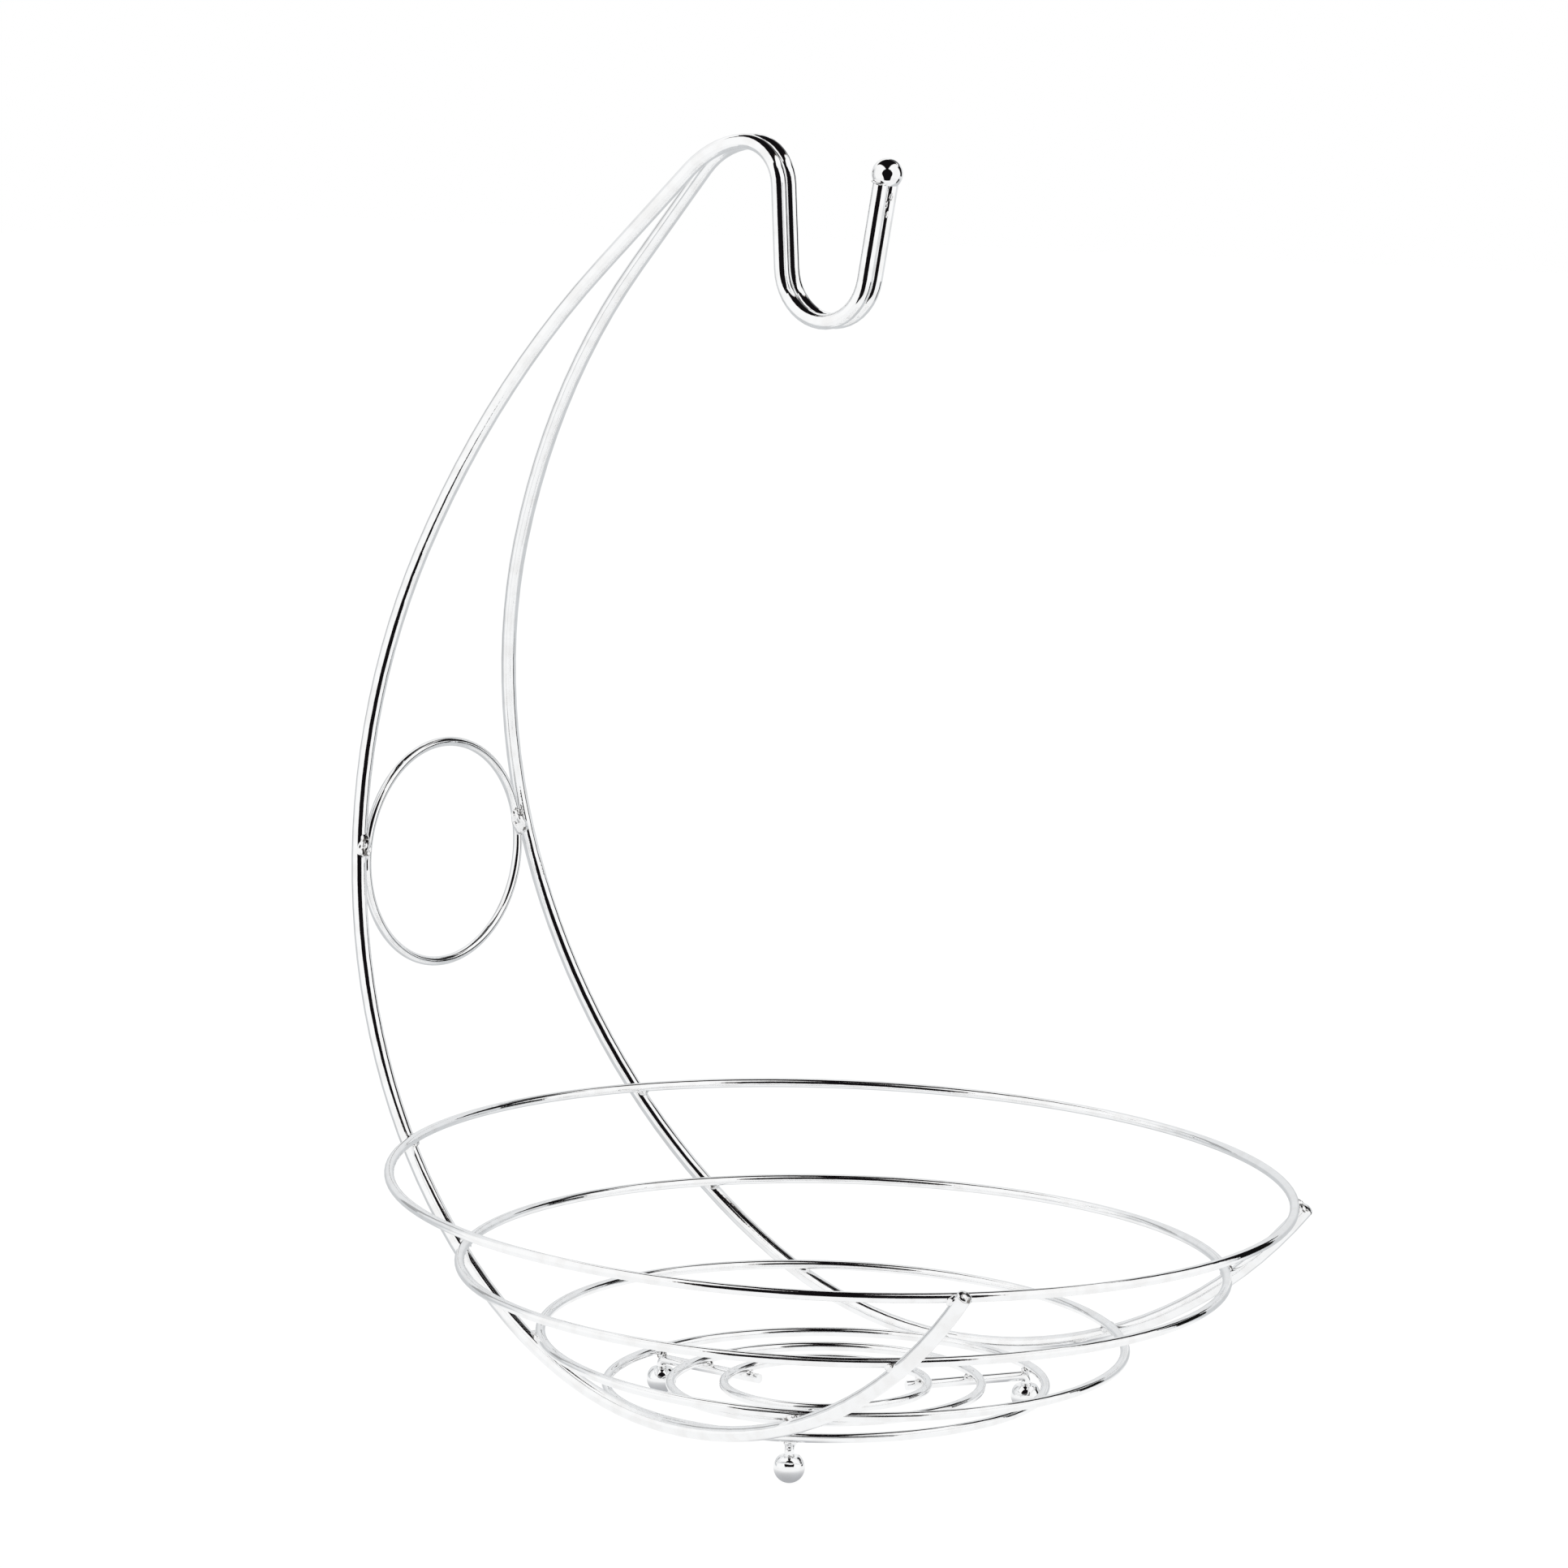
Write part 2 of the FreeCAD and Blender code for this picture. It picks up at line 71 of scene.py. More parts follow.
class Sheet:
    """The nodes of one material or world, with one way to add each of them."""

    def __init__(self, tree: bpy.types.NodeTree) -> None:
        """Starts with an empty tree.

        Args:
            tree: the node tree to fill.
        """
        self.tree = tree
        tree.nodes.clear()

    def node(self, kind: str, settings: dict[str, Any] | None = None,
             inputs: dict[Any, Any] | None = None) -> bpy.types.Node:
        """Adds a node.

        Args:
            kind: the node's type.
            settings: attributes of the node, set before its sockets; "stops" are a ramp's.
            inputs: value or link of each socket, by name or number.

        Returns:
            The new node.
        """
        made = self.tree.nodes.new(kind)
        for name, value in (settings or {}).items():
            if name == "stops":
                self._stops(made.color_ramp, value)
            else:
                setattr(made, name, value)
        for name, value in (inputs or {}).items():
            self._feed(made.inputs[name], value)
        return made

    def _feed(self, socket: bpy.types.NodeSocket, value: Any) -> None:
        """Gives a socket its value or link.

        Args:
            socket: the input to fill.
            value: a Signal, an output socket, or a plain value.
        """
        if isinstance(value, Signal):
            value = value.socket
        if isinstance(value, bpy.types.NodeSocket):
            self.tree.links.new(value, socket)
        else:
            socket.default_value = value

    @staticmethod
    def _stops(ramp: bpy.types.ColorRamp, stops: list[tuple[float, Colour]]) -> None:
        """Sets a ramp's stops.

        Args:
            ramp: the ramp.
            stops: place and colour of each stop.
        """
        while len(ramp.elements) < len(stops):
            ramp.elements.new(0.5)
        for element, (place, colour) in zip(ramp.elements, stops):
            element.position = place
            element.color = colour

    def signal(self, kind: str, output: Any, settings: dict[str, Any] | None = None,
               inputs: dict[Any, Any] | None = None) -> "Signal":
        """Adds a node and wraps one of its outputs.

        Args:
            kind: the node's type.
            output: name or number of the output.
            settings: attributes of the node.
            inputs: value or link of each socket.

        Returns:
            The wrapped output.
        """
        return Signal(self, self.node(kind, settings, inputs).outputs[output])

    def place(self) -> "Signal":
        """The point on the object."""
        return self.signal("ShaderNodeTexCoord", "Object")

    def vector(self, operation: str, output: str, *values: Any) -> "Signal":
        """Adds a Vector Math node.

        Args:
            operation: what it does.
            output: "Vector" or "Value".
            values: its inputs in order.

        Returns:
            The wrapped output.
        """
        return self.signal("ShaderNodeVectorMath", output, {"operation": operation},
                           dict(enumerate(values)))

    def noise(self, place: "Signal", scale: float, detail: float) -> "Signal":
        """Adds a noise.

        Args:
            place: the point on the object.
            scale: how fine it is, per metre.
            detail: how many finer layers lie over the first.

        Returns:
            The noise, from 0 to 1.
        """
        return self.signal("ShaderNodeTexNoise", 0, None,
                           {"Vector": place, "Scale": scale, "Detail": detail})

    def nearest(self, place: "Signal", spots: Iterable[Iterable[float]]) -> "Signal | None":
        """Measures how far the nearest of some spots is.

        Args:
            place: the point on the object.
            spots: the spots.

        Returns:
            The distance, or None where there are no spots.
        """
        least: Signal | None = None
        for spot in spots:
            away = self.vector("DISTANCE", "Value", place, tuple(spot))
            least = away if least is None else least.least(away)
        return least

    def mix(self, factor: Any, low: Any, high: Any) -> "Signal":
        """Mixes two colours.

        Args:
            factor: 0 gives low, 1 gives high.
            low: first colour.
            high: second colour.

        Returns:
            The mixed colour.
        """
        return self.signal("ShaderNodeMix", 2, {"data_type": "RGBA"}, {0: factor, 6: low, 7: high})

    def blend(self, factor: Any, low: bpy.types.Node, high: bpy.types.Node) -> bpy.types.Node:
        """Mixes two shaders.

        Args:
            factor: 0 gives low, 1 gives high.
            low: first shader.
            high: second shader.

        Returns:
            The mixed shader.
        """
        return self.node("ShaderNodeMixShader", None,
                         {0: factor, 1: low.outputs[0], 2: high.outputs[0]})

    def glow(self, colour: Any, strength: float = 1.0) -> bpy.types.Node:
        """Adds a shader that shines.

        Args:
            colour: its colour.
            strength: how bright it is.

        Returns:
            The shader.
        """
        return self.node("ShaderNodeEmission", None, {"Color": colour, "Strength": strength})

    def metal(self, colour: "Signal", rough: "Signal", height: "Signal") -> bpy.types.Node:
        """Adds a shader of bare metal.

        Args:
            colour: its colour.
            rough: its roughness.
            height: height of its surface, in metres.

        Returns:
            The shader.
        """
        bump = self.signal("ShaderNodeBump", "Normal", None,
                           {"Height": height, "Distance": 1.0, "Strength": 1.0})
        return self.node("ShaderNodeBsdfPrincipled", None,
                         {"Base Color": colour, "Roughness": rough, "Metallic": 1.0, "Normal": bump})

    def surface(self, shader: bpy.types.Node) -> None:
        """Leads a shader to a material's output."""
        self.node("ShaderNodeOutputMaterial", None, {"Surface": shader.outputs[0]})


@dataclass(frozen=True)
class Signal:
    """One number or vector in a shader, which sums and products can be written with."""

    sheet: Sheet
    socket: bpy.types.NodeSocket

    def _math(self, operation: str, *values: Any) -> "Signal":
        """Adds a Math node.

        Args:
            operation: what it does.
            values: its inputs in order.

        Returns:
            The result.
        """
        return self.sheet.signal("ShaderNodeMath", 0, {"operation": operation},
                                 dict(enumerate(values)))

    def __add__(self, other: Any) -> "Signal":
        """Sum."""
        return self._math("ADD", self, other)

    __radd__ = __add__

    def __sub__(self, other: Any) -> "Signal":
        """Difference."""
        return self._math("SUBTRACT", self, other)

    def __rsub__(self, other: Any) -> "Signal":
        """Reflected difference."""
        return self._math("SUBTRACT", other, self)

    def __mul__(self, other: Any) -> "Signal":
        """Product."""
        return self._math("MULTIPLY", self, other)

    def __truediv__(self, other: Any) -> "Signal":
        """Quotient."""
        return self._math("DIVIDE", self, other)

    def __pow__(self, other: Any) -> "Signal":
        """Power."""
        return self._math("POWER", self, other)

    def __neg__(self) -> "Signal":
        """Negative."""
        return self._math("MULTIPLY", self, -1.0)

    def __abs__(self) -> "Signal":
        """Absolute value."""
        return self._math("ABSOLUTE", self)

    def least(self, other: Any) -> "Signal":
        """The smaller of two values."""
        return self._math("MINIMUM", self, other)

    def most(self, other: Any) -> "Signal":
        """The larger of two values."""
        return self._math("MAXIMUM", self, other)

    def angle_over(self, other: Any) -> "Signal":
        """Angle whose tangent is self over other, in radians."""
        return self._math("ARCTAN2", self, other)

    def step(self, low: Any, high: Any) -> "Signal":
        """Rises smoothly from 0 at low to 1 at high.

        Args:
            low: where the rise starts.
            high: where it ends.

        Returns:
            The smooth step.
        """
        return self.sheet.signal("ShaderNodeMapRange", 0, {"interpolation_type": "SMOOTHSTEP"},
                                 {0: self, 1: low, 2: high, 3: 0.0, 4: 1.0})


def new_material(name: str) -> tuple[bpy.types.Material, Sheet]:
    """Makes an empty material.

    Args:
        name: its name.

    Returns:
        The material and its nodes.
    """
    material = bpy.data.materials.new(name)
    material.use_nodes = True
    return material, Sheet(material.node_tree)


def grey(level: float, warmth: float = 0.0) -> Colour:
    """A grey, a little warm where warmth is above 0 and cool where it is below.

    Args:
        level: brightness.
        warmth: added to red and taken from blue.

    Returns:
        The colour.
    """
    return (level + warmth, level, level - warmth, 1.0)


@dataclass(frozen=True)
class PlatedFinish:
    """Bright nickel and chrome plate on drawn steel wire, with its lengths in metres."""

    name: str
    bright: Colour = grey(0.965, -0.004)
    thin: Colour = grey(0.91, 0.002)
    heat: Colour = grey(0.66, 0.012)
    smooth: float = 0.03
    satin: float = 0.07
    scorched: float = 0.22
    cloud_scale: float = 190.0
    cloud_edge: Span = (0.42, 0.68)
    peel_scale: float = 900.0
    peel_height: float = 0.000012
    wave_scale: float = 210.0
    wave_height: float = 0.00005
    heat_reach: float = 1.7 * MM
    heat_edge: Span = (0.55, 1.35)
    heat_share: float = 0.75
    heat_height: float = 0.00012

    def make(self, welds: Iterable[Vector]) -> bpy.types.Material:
        """Builds the material.

        Args:
            welds: places where the plate is dulled by a weld beneath it.

        Returns:
            The material.
        """
        material, sheet = new_material(self.name)
        place = sheet.place()
        clouds = sheet.noise(place, self.cloud_scale, detail=3.0)
        peel = sheet.noise(place, self.peel_scale, detail=2.0)
        wave = sheet.noise(place, self.wave_scale, detail=0.0)
        halo = self._halo(sheet, place, welds, clouds)
        patches = clouds.step(*self.cloud_edge)
        plate = sheet.mix(patches, self.bright, self.thin)
        colour = sheet.mix(halo * self.heat_share, plate, self.heat)
        rough = (self.smooth + patches * (self.satin - self.smooth)
                 + halo * (self.scorched - self.satin))
        height = (peel * self.peel_height + wave * self.wave_height
                  + halo * peel * self.heat_height)
        sheet.surface(sheet.metal(colour, rough, height))
        return material

    def _halo(self, sheet: Sheet, place: Signal, welds: Iterable[Vector], clouds: Signal) -> Signal:
        """Marks the ground round each weld.

        Args:
            sheet: the material's nodes.
            place: the point on the object.
            welds: where the welds are.
            clouds: a noise that makes the edge uneven.

        Returns:
            1 at a weld, falling to 0 at the reach.
        """
        nearest = sheet.nearest(place, welds)
        if nearest is None:
            return clouds * 0.0
        reach = self.heat_reach
        low, high = self.heat_edge
        return 1.0 - (nearest + (clouds - NOISE_MIDDLE) * reach).step(reach * low, reach * high)


@dataclass(frozen=True)
class WeldFinish:
    """Plated weld metal, rougher and darker in its hollows than the wire."""

    name: str
    crest: Colour = grey(0.94)
    hollow: Colour = grey(0.22, 0.01)
    smooth: float = 0.07
    pitted: float = 0.24
    blob_scale: float = 520.0
    grain_scale: float = 1400.0
    grain_share: float = 0.4
    pit_edge: Span = (0.56, 0.66)
    height: float = 0.00022

    def make(self) -> bpy.types.Material:
        """Builds the material.

        Returns:
            The material.
        """
        material, sheet = new_material(self.name)
        place = sheet.place()
        blobs = sheet.noise(place, self.blob_scale, detail=2.0)
        grain = sheet.noise(place, self.grain_scale, detail=3.0)
        pits = blobs.step(*self.pit_edge)
        colour = sheet.mix(pits, self.crest, self.hollow)
        rough = self.smooth + pits * (self.pitted - self.smooth)
        height = (blobs + grain * self.grain_share) * self.height
        sheet.surface(sheet.metal(colour, rough, height))
        return material


@dataclass(frozen=True)
class Contact:
    """Where two pieces meet: the place, the way across, the run of each piece and the gap."""

    place: Vector
    across: Vector
    first_run: Vector
    second_run: Vector
    gap: float


class Joint:
    """Finds where two CAD nodes come within reach of each other."""

    search: int = 4
    apart: float = 9.0 * MM
    settle_rounds: int = 40
    run_reach: float = 7.0 * MM
    straight_reach: float = 2.0 * MM
    fewest: int = 12
    run_guess: tuple[float, float, float] = (0.57, 0.61, 0.55)
    run_rounds: int = 60
    no_length: float = 1e-6

    def __init__(self, first: str, second: str, reach: float = TOUCHING) -> None:
        """Reads both nodes.

        Args:
            first: name of one node.
            second: name of the other.
            reach: the widest gap that still counts as a joint.
        """
        self.meshes = [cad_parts[name].data for name in (first, second)]
        self.trees = [BVHTree.FromPolygons([v.co for v in mesh.vertices],
                                           [p.vertices for p in mesh.polygons])
                      for mesh in self.meshes]
        self.reach = reach

    def contacts(self) -> list[Contact]:
        """Gives each separate place of contact.

        Returns:
            The contacts, nearest first.
        """
        close = []
        for vertex in self.meshes[0].vertices:
            found = self.trees[1].find_nearest(vertex.co, self.reach * self.search)
            if found[0] is not None:
                close.append((found[3], vertex.co.copy()))
        places: list[tuple[float, Vector, Vector]] = []
        for _, start in sorted(close, key=lambda row: row[0]):
            if self._known(start, places):
                continue
            one, other = self._settle(start)
            gap = (one - other).length
            if gap <= self.reach and not self._known(one, places):
                places.append((gap, one, other))
        return [self._contact(*row) for row in places]

    def _known(self, point: Vector, places: list[tuple[float, Vector, Vector]]) -> bool:
        """Tells whether a point belongs to a place that is listed already.

        Args:
            point: the point.
            places: the list.

        Returns:
            True where one of the places is near.
        """
        return any((point - kept[1]).length < self.apart for kept in places)

    def _settle(self, start: Vector) -> tuple[Vector, Vector]:
        """Walks to the nearest pair of points.

        Args:
            start: a point on the first mesh.

        Returns:
            A point on each mesh.
        """
        one = start
        other = start
        for _ in range(self.settle_rounds):
            other = self.trees[1].find_nearest(one)[0]
            one = self.trees[0].find_nearest(other)[0]
        return one, other

    def _contact(self, gap: float, one: Vector, other: Vector) -> Contact:
        """Works out how the pieces lie at a contact.

        Args:
            gap: distance between the surfaces.
            one: point on the first.
            other: point on the second.

        Returns:
            The contact.
        """
        place = (one + other) / 2
        runs, middles = [], []
        for mesh, tree in zip(self.meshes, self.trees):
            near = [v.co for v in mesh.vertices if (v.co - place).length < self.run_reach]
            if len(near) < self.fewest:
                near = [mesh.vertices[corner].co
                        for hit in tree.find_nearest_range(place, self.straight_reach)
                        for corner in mesh.polygons[hit[2]].vertices]
            middle = sum(near, Vector()) / len(near)
            runs.append(self._run(near, middle))
            middles.append(middle)
        across = middles[1] - middles[0]
        for run in runs:
            across -= across.project(run)
        if across.length < self.no_length:
            across = runs[0].orthogonal()
        return Contact(place, across.normalized(), runs[0], runs[1], gap)

    def _run(self, points: list[Vector], middle: Vector) -> Vector:
        """Direction in which a cloud of points is longest.

        Args:
            points: the points.
            middle: their mean.

        Returns:
            The direction, as a unit vector.
        """
        spread = Matrix(((0.0,) * 3,) * 3)
        for point in points:
            off = (point - middle) * MM_PER_METRE
            for row in range(3):
                for column in range(3):
                    spread[row][column] += off[row] * off[column]
        run = Vector(self.run_guess)
        for _ in range(self.run_rounds):
            run = (spread @ run).normalized()
        return run


@dataclass(frozen=True)
class Seeds:
    """Numbers that give each weld bead lumps of its own."""

    first: float
    step: float

    def at(self, bead: int, group: int = 0) -> float:
        """Gives the seed of one bead.

        Args:
            bead: the bead's number in its group.
            group: the group's number.

        Returns:
            The seed.
        """
        return self.first + group + self.step * bead


@dataclass(frozen=True)
class Bead:
    """One blob of weld metal, longer where the wires run nearly alike."""

    contact: Contact
    width: float
    height: float
    ragged: float = 0.16
    seed: float = 0.0
    rounds: int = 4
    stretch: float = 1.1
    stretch_from: float = 0.2
    lump_scale: float = 1.7
    seed_spread: float = 7.3

    def add_to(self, mesh: bmesh.types.BMesh) -> None:
        """Adds the blob to a mesh.

        Args:
            mesh: where it goes.
        """
        made = bmesh.ops.create_icosphere(mesh, subdivisions=self.rounds, radius=1.0)
        first, second = self.contact.first_run, self.contact.second_run
        if first.dot(second) < 0:
            second = -second
        along = (first + second).normalized()
        up = self.contact.across
        along = (along - along.project(up)).normalized()
        side = up.cross(along)
        alike = max(0.0, first.dot(second) - self.stretch_from)
        length = self.width * (1.0 + self.stretch * alike)
        turn = Matrix((along * length, side * self.width, up * self.height)).transposed()
        shift = Vector((self.seed * self.seed_spread, 1.0, self.seed))
        for vertex in made["verts"]:
            rough = noise.noise(vertex.co * self.lump_scale + shift)
            vertex.co *= 1.0 + self.ragged * rough
        bmesh.ops.transform(mesh, matrix=Matrix.Translation(self.contact.place) @ turn.to_4x4(),
                            verts=made["verts"])


@dataclass(frozen=True)
class Collar:
    """A small fillet of weld metal round a wire's end where it stands on a ball."""

    foot: Vector
    run: Vector
    wire_radius: float
    ball_radius: float
    seed: float = 0.0
    spread: float = 0.6 * MM
    rise: float = 0.6 * MM
    turns: int = 40
    steps: int = 5
    bore_share: float = 0.86
    crown_share: float = 1.02
    lip: float = 0.06 * MM
    skin: float = 0.05 * MM
    tuck_in: float = 0.15 * MM
    tuck_down: float = 0.35 * MM
    sunk: float = 0.25 * MM
    ragged: float = 0.10
    lump_scale: float = 900.0
    seed_spread: float = 5.1

    def _outline(self) -> list[Span]:
        """Draws half of the fillet's section; its inner side is hidden in wire and ball.

        Returns:
            Distance from the wire's middle and height of each corner.
        """
        bore = self.wire_radius * self.bore_share
        outline = [(bore, self.rise * self.crown_share), (self.wire_radius + self.lip, self.rise)]
        for k in range(1, self.steps + 1):
            part = k / self.steps
            out = self.wire_radius + self.spread * (1 - math.cos(part * math.pi / 2))
            drop = out * out / (2 * self.ball_radius)
            outline.append((out + self.skin,
                            self.rise * (1 - math.sin(part * math.pi / 2)) - drop * part))
        last = outline[-1]
        outline.append((last[0] - self.tuck_in, last[1] - self.tuck_down))
        outline.append((bore, -self.sunk))
        return outline

    def add_to(self, mesh: bmesh.types.BMesh) -> None:
        """Spins the fillet's outline round the wire.

        Args:
            mesh: an empty mesh, where it goes.
        """
        points = [mesh.verts.new((r, 0.0, z)) for r, z in self._outline()]
        edges = [mesh.edges.new((a, b)) for a, b in zip(points, points[1:] + points[:1])]
        bmesh.ops.spin(mesh, geom=points + edges, cent=(0, 0, 0), axis=(0, 0, 1),
                       angle=math.tau, steps=self.turns, use_merge=True)
        shift = Vector((self.seed * self.seed_spread, 0.0, 2.0))
        for vertex in mesh.verts:
            rough = noise.noise(vertex.co * self.lump_scale + shift)
            vertex.co += Vector((vertex.co.x, vertex.co.y, 0.0)) * self.ragged * rough
        turn = self.run.to_track_quat("Z", "Y").to_matrix().to_4x4()
        bmesh.ops.transform(mesh, matrix=Matrix.Translation(self.foot) @ turn, verts=mesh.verts)


def finished(name: str, build: Callable[[bmesh.types.BMesh], None], material: bpy.types.Material) -> bpy.types.Object:
    """Makes a piece of the object.

    Args:
        name: the piece's name.
        build: fills its mesh.
        material: its finish.

    Returns:
        The piece, riding on the object's one body.
    """
    mesh = bmesh.new()
    build(mesh)
    bmesh.ops.remove_doubles(mesh, verts=mesh.verts, dist=SAME_PLACE)
    bmesh.ops.recalc_face_normals(mesh, faces=mesh.faces)
    data = bpy.data.meshes.new(name)
    mesh.to_mesh(data)
    mesh.free()
    data.polygons.foreach_set("use_smooth", [True] * len(data.polygons))
    data.materials.append(material)
    piece = bpy.data.objects.new(name, data)
    bpy.context.scene.collection.objects.link(piece)
    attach(piece, ROOT)
    log.info("piece %s: %d faces", name, len(data.polygons))
    return piece


def bead_piece(name: str, beads: Iterable[Bead], material: bpy.types.Material) -> bpy.types.Object:
    """Makes a piece that is nothing but weld beads.

    Args:
        name: the piece's name.
        beads: its beads.
        material: its finish.

    Returns:
        The piece.
    """
    def add_all(mesh: bmesh.types.BMesh) -> None:
        """Adds every bead."""
        for bead in beads:
            bead.add_to(mesh)

    return finished(name, add_all, material)


def dress(nodes: Iterable[str], material: bpy.types.Material) -> None:
    """Gives CAD nodes their finish.

    Args:
        nodes: the nodes' names.
        material: the finish.
    """
    for name in nodes:
        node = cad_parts[name]
        for slot in node.material_slots:
            slot.material = material
        log.info("node %s: %s", name, material.name)


def report_welds(welds: dict[str, list[Contact]]) -> None:
    """Logs how many welds were found in each group."""
    for name, found in welds.items():
        log.info("%s: %d welds", name, len(found))


@dataclass(frozen=True)
class Viewpoint:
    """Where the photograph was taken from."""

    azimuth: float = math.radians(129.65)
    pitch: float = math.radians(8.08)
    roll: float = math.radians(0.35)
    focal_pixels: float = 7158.55
    origin_x: float = 1017.01
    origin_y: float = 1758.57
    depth: float = 1814.38 * MM
    clip: Span = (0.05, 100.0)

    @property
    def toward(self) -> Vector:
        """Level direction from the object to the camera."""
        return Vector((-math.cos(self.azimuth), -math.sin(self.azimuth), 0.0))

    @property
    def aside(self) -> Vector:
        """Level direction to the right in the picture."""
        return Vector((math.sin(self.azimuth), -math.cos(self.azimuth), 0.0))

    def make(self) -> None:
        """Adds the camera."""
        ahead = Vector((math.cos(self.azimuth) * math.cos(self.pitch),
                        math.sin(self.azimuth) * math.cos(self.pitch), -math.sin(self.pitch)))
        right = self.aside
        up = right.cross(ahead)
        right, up = (right * math.cos(self.roll) + up * math.sin(self.roll),
                     up * math.cos(self.roll) - right * math.sin(self.roll))
        middle = IMAGE_PIXELS / 2
        shift_x = (self.origin_x - middle) / self.focal_pixels * self.depth
        shift_y = -(self.origin_y - middle) / self.focal_pixels * self.depth
        spot = -(right * shift_x + up * shift_y + ahead * self.depth)
        data = bpy.data.cameras.new("camera")
        data.sensor_width = SENSOR_MM
        data.lens = self.focal_pixels / IMAGE_PIXELS * SENSOR_MM
        data.clip_start, data.clip_end = self.clip
        camera = bpy.data.objects.new("camera", data)
        turn = Matrix((right, up, -ahead)).transposed().to_4x4()
        camera.matrix_world = Matrix.Translation(spot) @ turn
        bpy.context.scene.collection.objects.link(camera)
        bpy.context.scene.camera = camera


@dataclass
class Bowl:
    """The rim and the two rings under it, welded to the hanger's ribs."""

    rings: tuple[str, ...] = ("rim_ring", "upper_ring", "lower_ring")
    wires: tuple[str, ...] = ("hanger_wire_left", "hanger_wire_right")
    bead_width: float = 2.1 * MM
    bead_height: float = 1.15 * MM
    seeds: Seeds = Seeds(0.0, 0.37)
    welds: dict[str, list[Contact]] = field(default_factory=dict)

    def survey(self) -> None:
        """Finds the welds."""
        for ring in self.rings:
            self.welds[ring] = [c for wire in self.wires for c in Joint(ring, wire).contacts()]
        report_welds(self.welds)

    def build(self, weld: bpy.types.Material) -> None:
        """Makes the weld beads.

        Args:
            weld: their finish.
        """
        for number, ring in enumerate(self.rings):
            beads = [Bead(c, self.bead_width, self.bead_height, seed=self.seeds.at(k, number))
                     for k, c in enumerate(self.welds[ring])]
            bead_piece(f"{ring}_welds", beads, weld)


@dataclass
class Base:
    """The three level rings with the three spokes under them and their ball feet."""

    rings: tuple[str, ...] = ("base_ring_outer", "base_ring_middle", "base_ring_inner")
    sides: tuple[Side, ...] = tuple(Side)
    wires: tuple[str, ...] = ("hanger_wire_left", "hanger_wire_right")
    ring_wire_radius: float = 1.5 * MM
    ball_radius: float = 4.75 * MM
    outer_reach: float = 1.0 * MM
    bead_width: float = 1.7 * MM
    bead_height: float = 0.95 * MM
    seeds: Seeds = Seeds(3.0, 0.41)
    welds: dict[str, list[Contact]] = field(default_factory=dict)

    def survey(self) -> None:
        """Finds the welds; the spokes pass a little below the outer ring."""
        outer = self.rings[0]
        self.welds["base_ring_outer_to_ribs"] = [
            c for wire in self.wires for c in Joint(outer, wire).contacts()]
        for side in self.sides:
            spoke = f"foot_spoke_{side}"
            found = []
            for ring in self.rings:
                reach = self.outer_reach if ring == outer else TOUCHING
                found += Joint(ring, spoke, reach).contacts()[:1]
            self.welds[spoke] = found
        report_welds(self.welds)

    def build(self, weld: bpy.types.Material) -> None:
        """Makes the weld beads and the fillets on the balls.

        Args:
            weld: their finish.
        """
        for number, (name, found) in enumerate(self.welds.items()):
            beads = [Bead(c, self.bead_width, self.bead_height + c.gap / 2,
                          seed=self.seeds.at(k, number)) for k, c in enumerate(found)]
            bead_piece(f"{name}_welds", beads, weld)
        for number, side in enumerate(self.sides):
            low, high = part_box(f"foot_ball_{side}")
            top = Vector(((low.x + high.x) / 2, (low.y + high.y) / 2, high.z))
            collar = Collar(top, Vector((0, 0, 1)), self.ring_wire_radius, self.ball_radius,
                            seed=float(number))
            finished(f"foot_ball_{side}_weld", collar.add_to, weld)


def flat_ends(name: str, radius: float, slack: float = 0.06,
              spread: float = 1.1) -> list[tuple[Vector, Vector]]:
    """Finds the cut faces of a wire.

    Args:
        name: the wire's node.
        radius: the wire's radius.
        slack: how far a cut face's area may be from that of a full circle, as a share.
        spread: how far from its middle a cut face may reach, in radii.

    Returns:
        The middle and the outward direction of each round cut face.
    """
    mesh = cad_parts[name].data
    groups: dict[tuple[float, ...], list[bpy.types.MeshPolygon]] = {}
    for face in mesh.polygons:
        level = round(face.normal.dot(face.center), 4)
        key = tuple(round(part, 2) for part in face.normal) + (level,)
        groups.setdefault(key, []).append(face)
    found = []
    for faces in groups.values():
        area = sum(face.area for face in faces)
        if abs(area - math.pi * radius * radius) < slack * area:
            corners = {k for face in faces for k in face.vertices}
            middle = sum((mesh.vertices[k].co for k in corners), Vector()) / len(corners)
            if all((mesh.vertices[k].co - middle).length < radius * spread for k in corners):
                found.append((middle, faces[0].normal.copy()))
    return found


@dataclass(frozen=True)
class Lump:
    """A drop of weld metal that ran down a wire."""

    down: float
    turn: float
    size: float


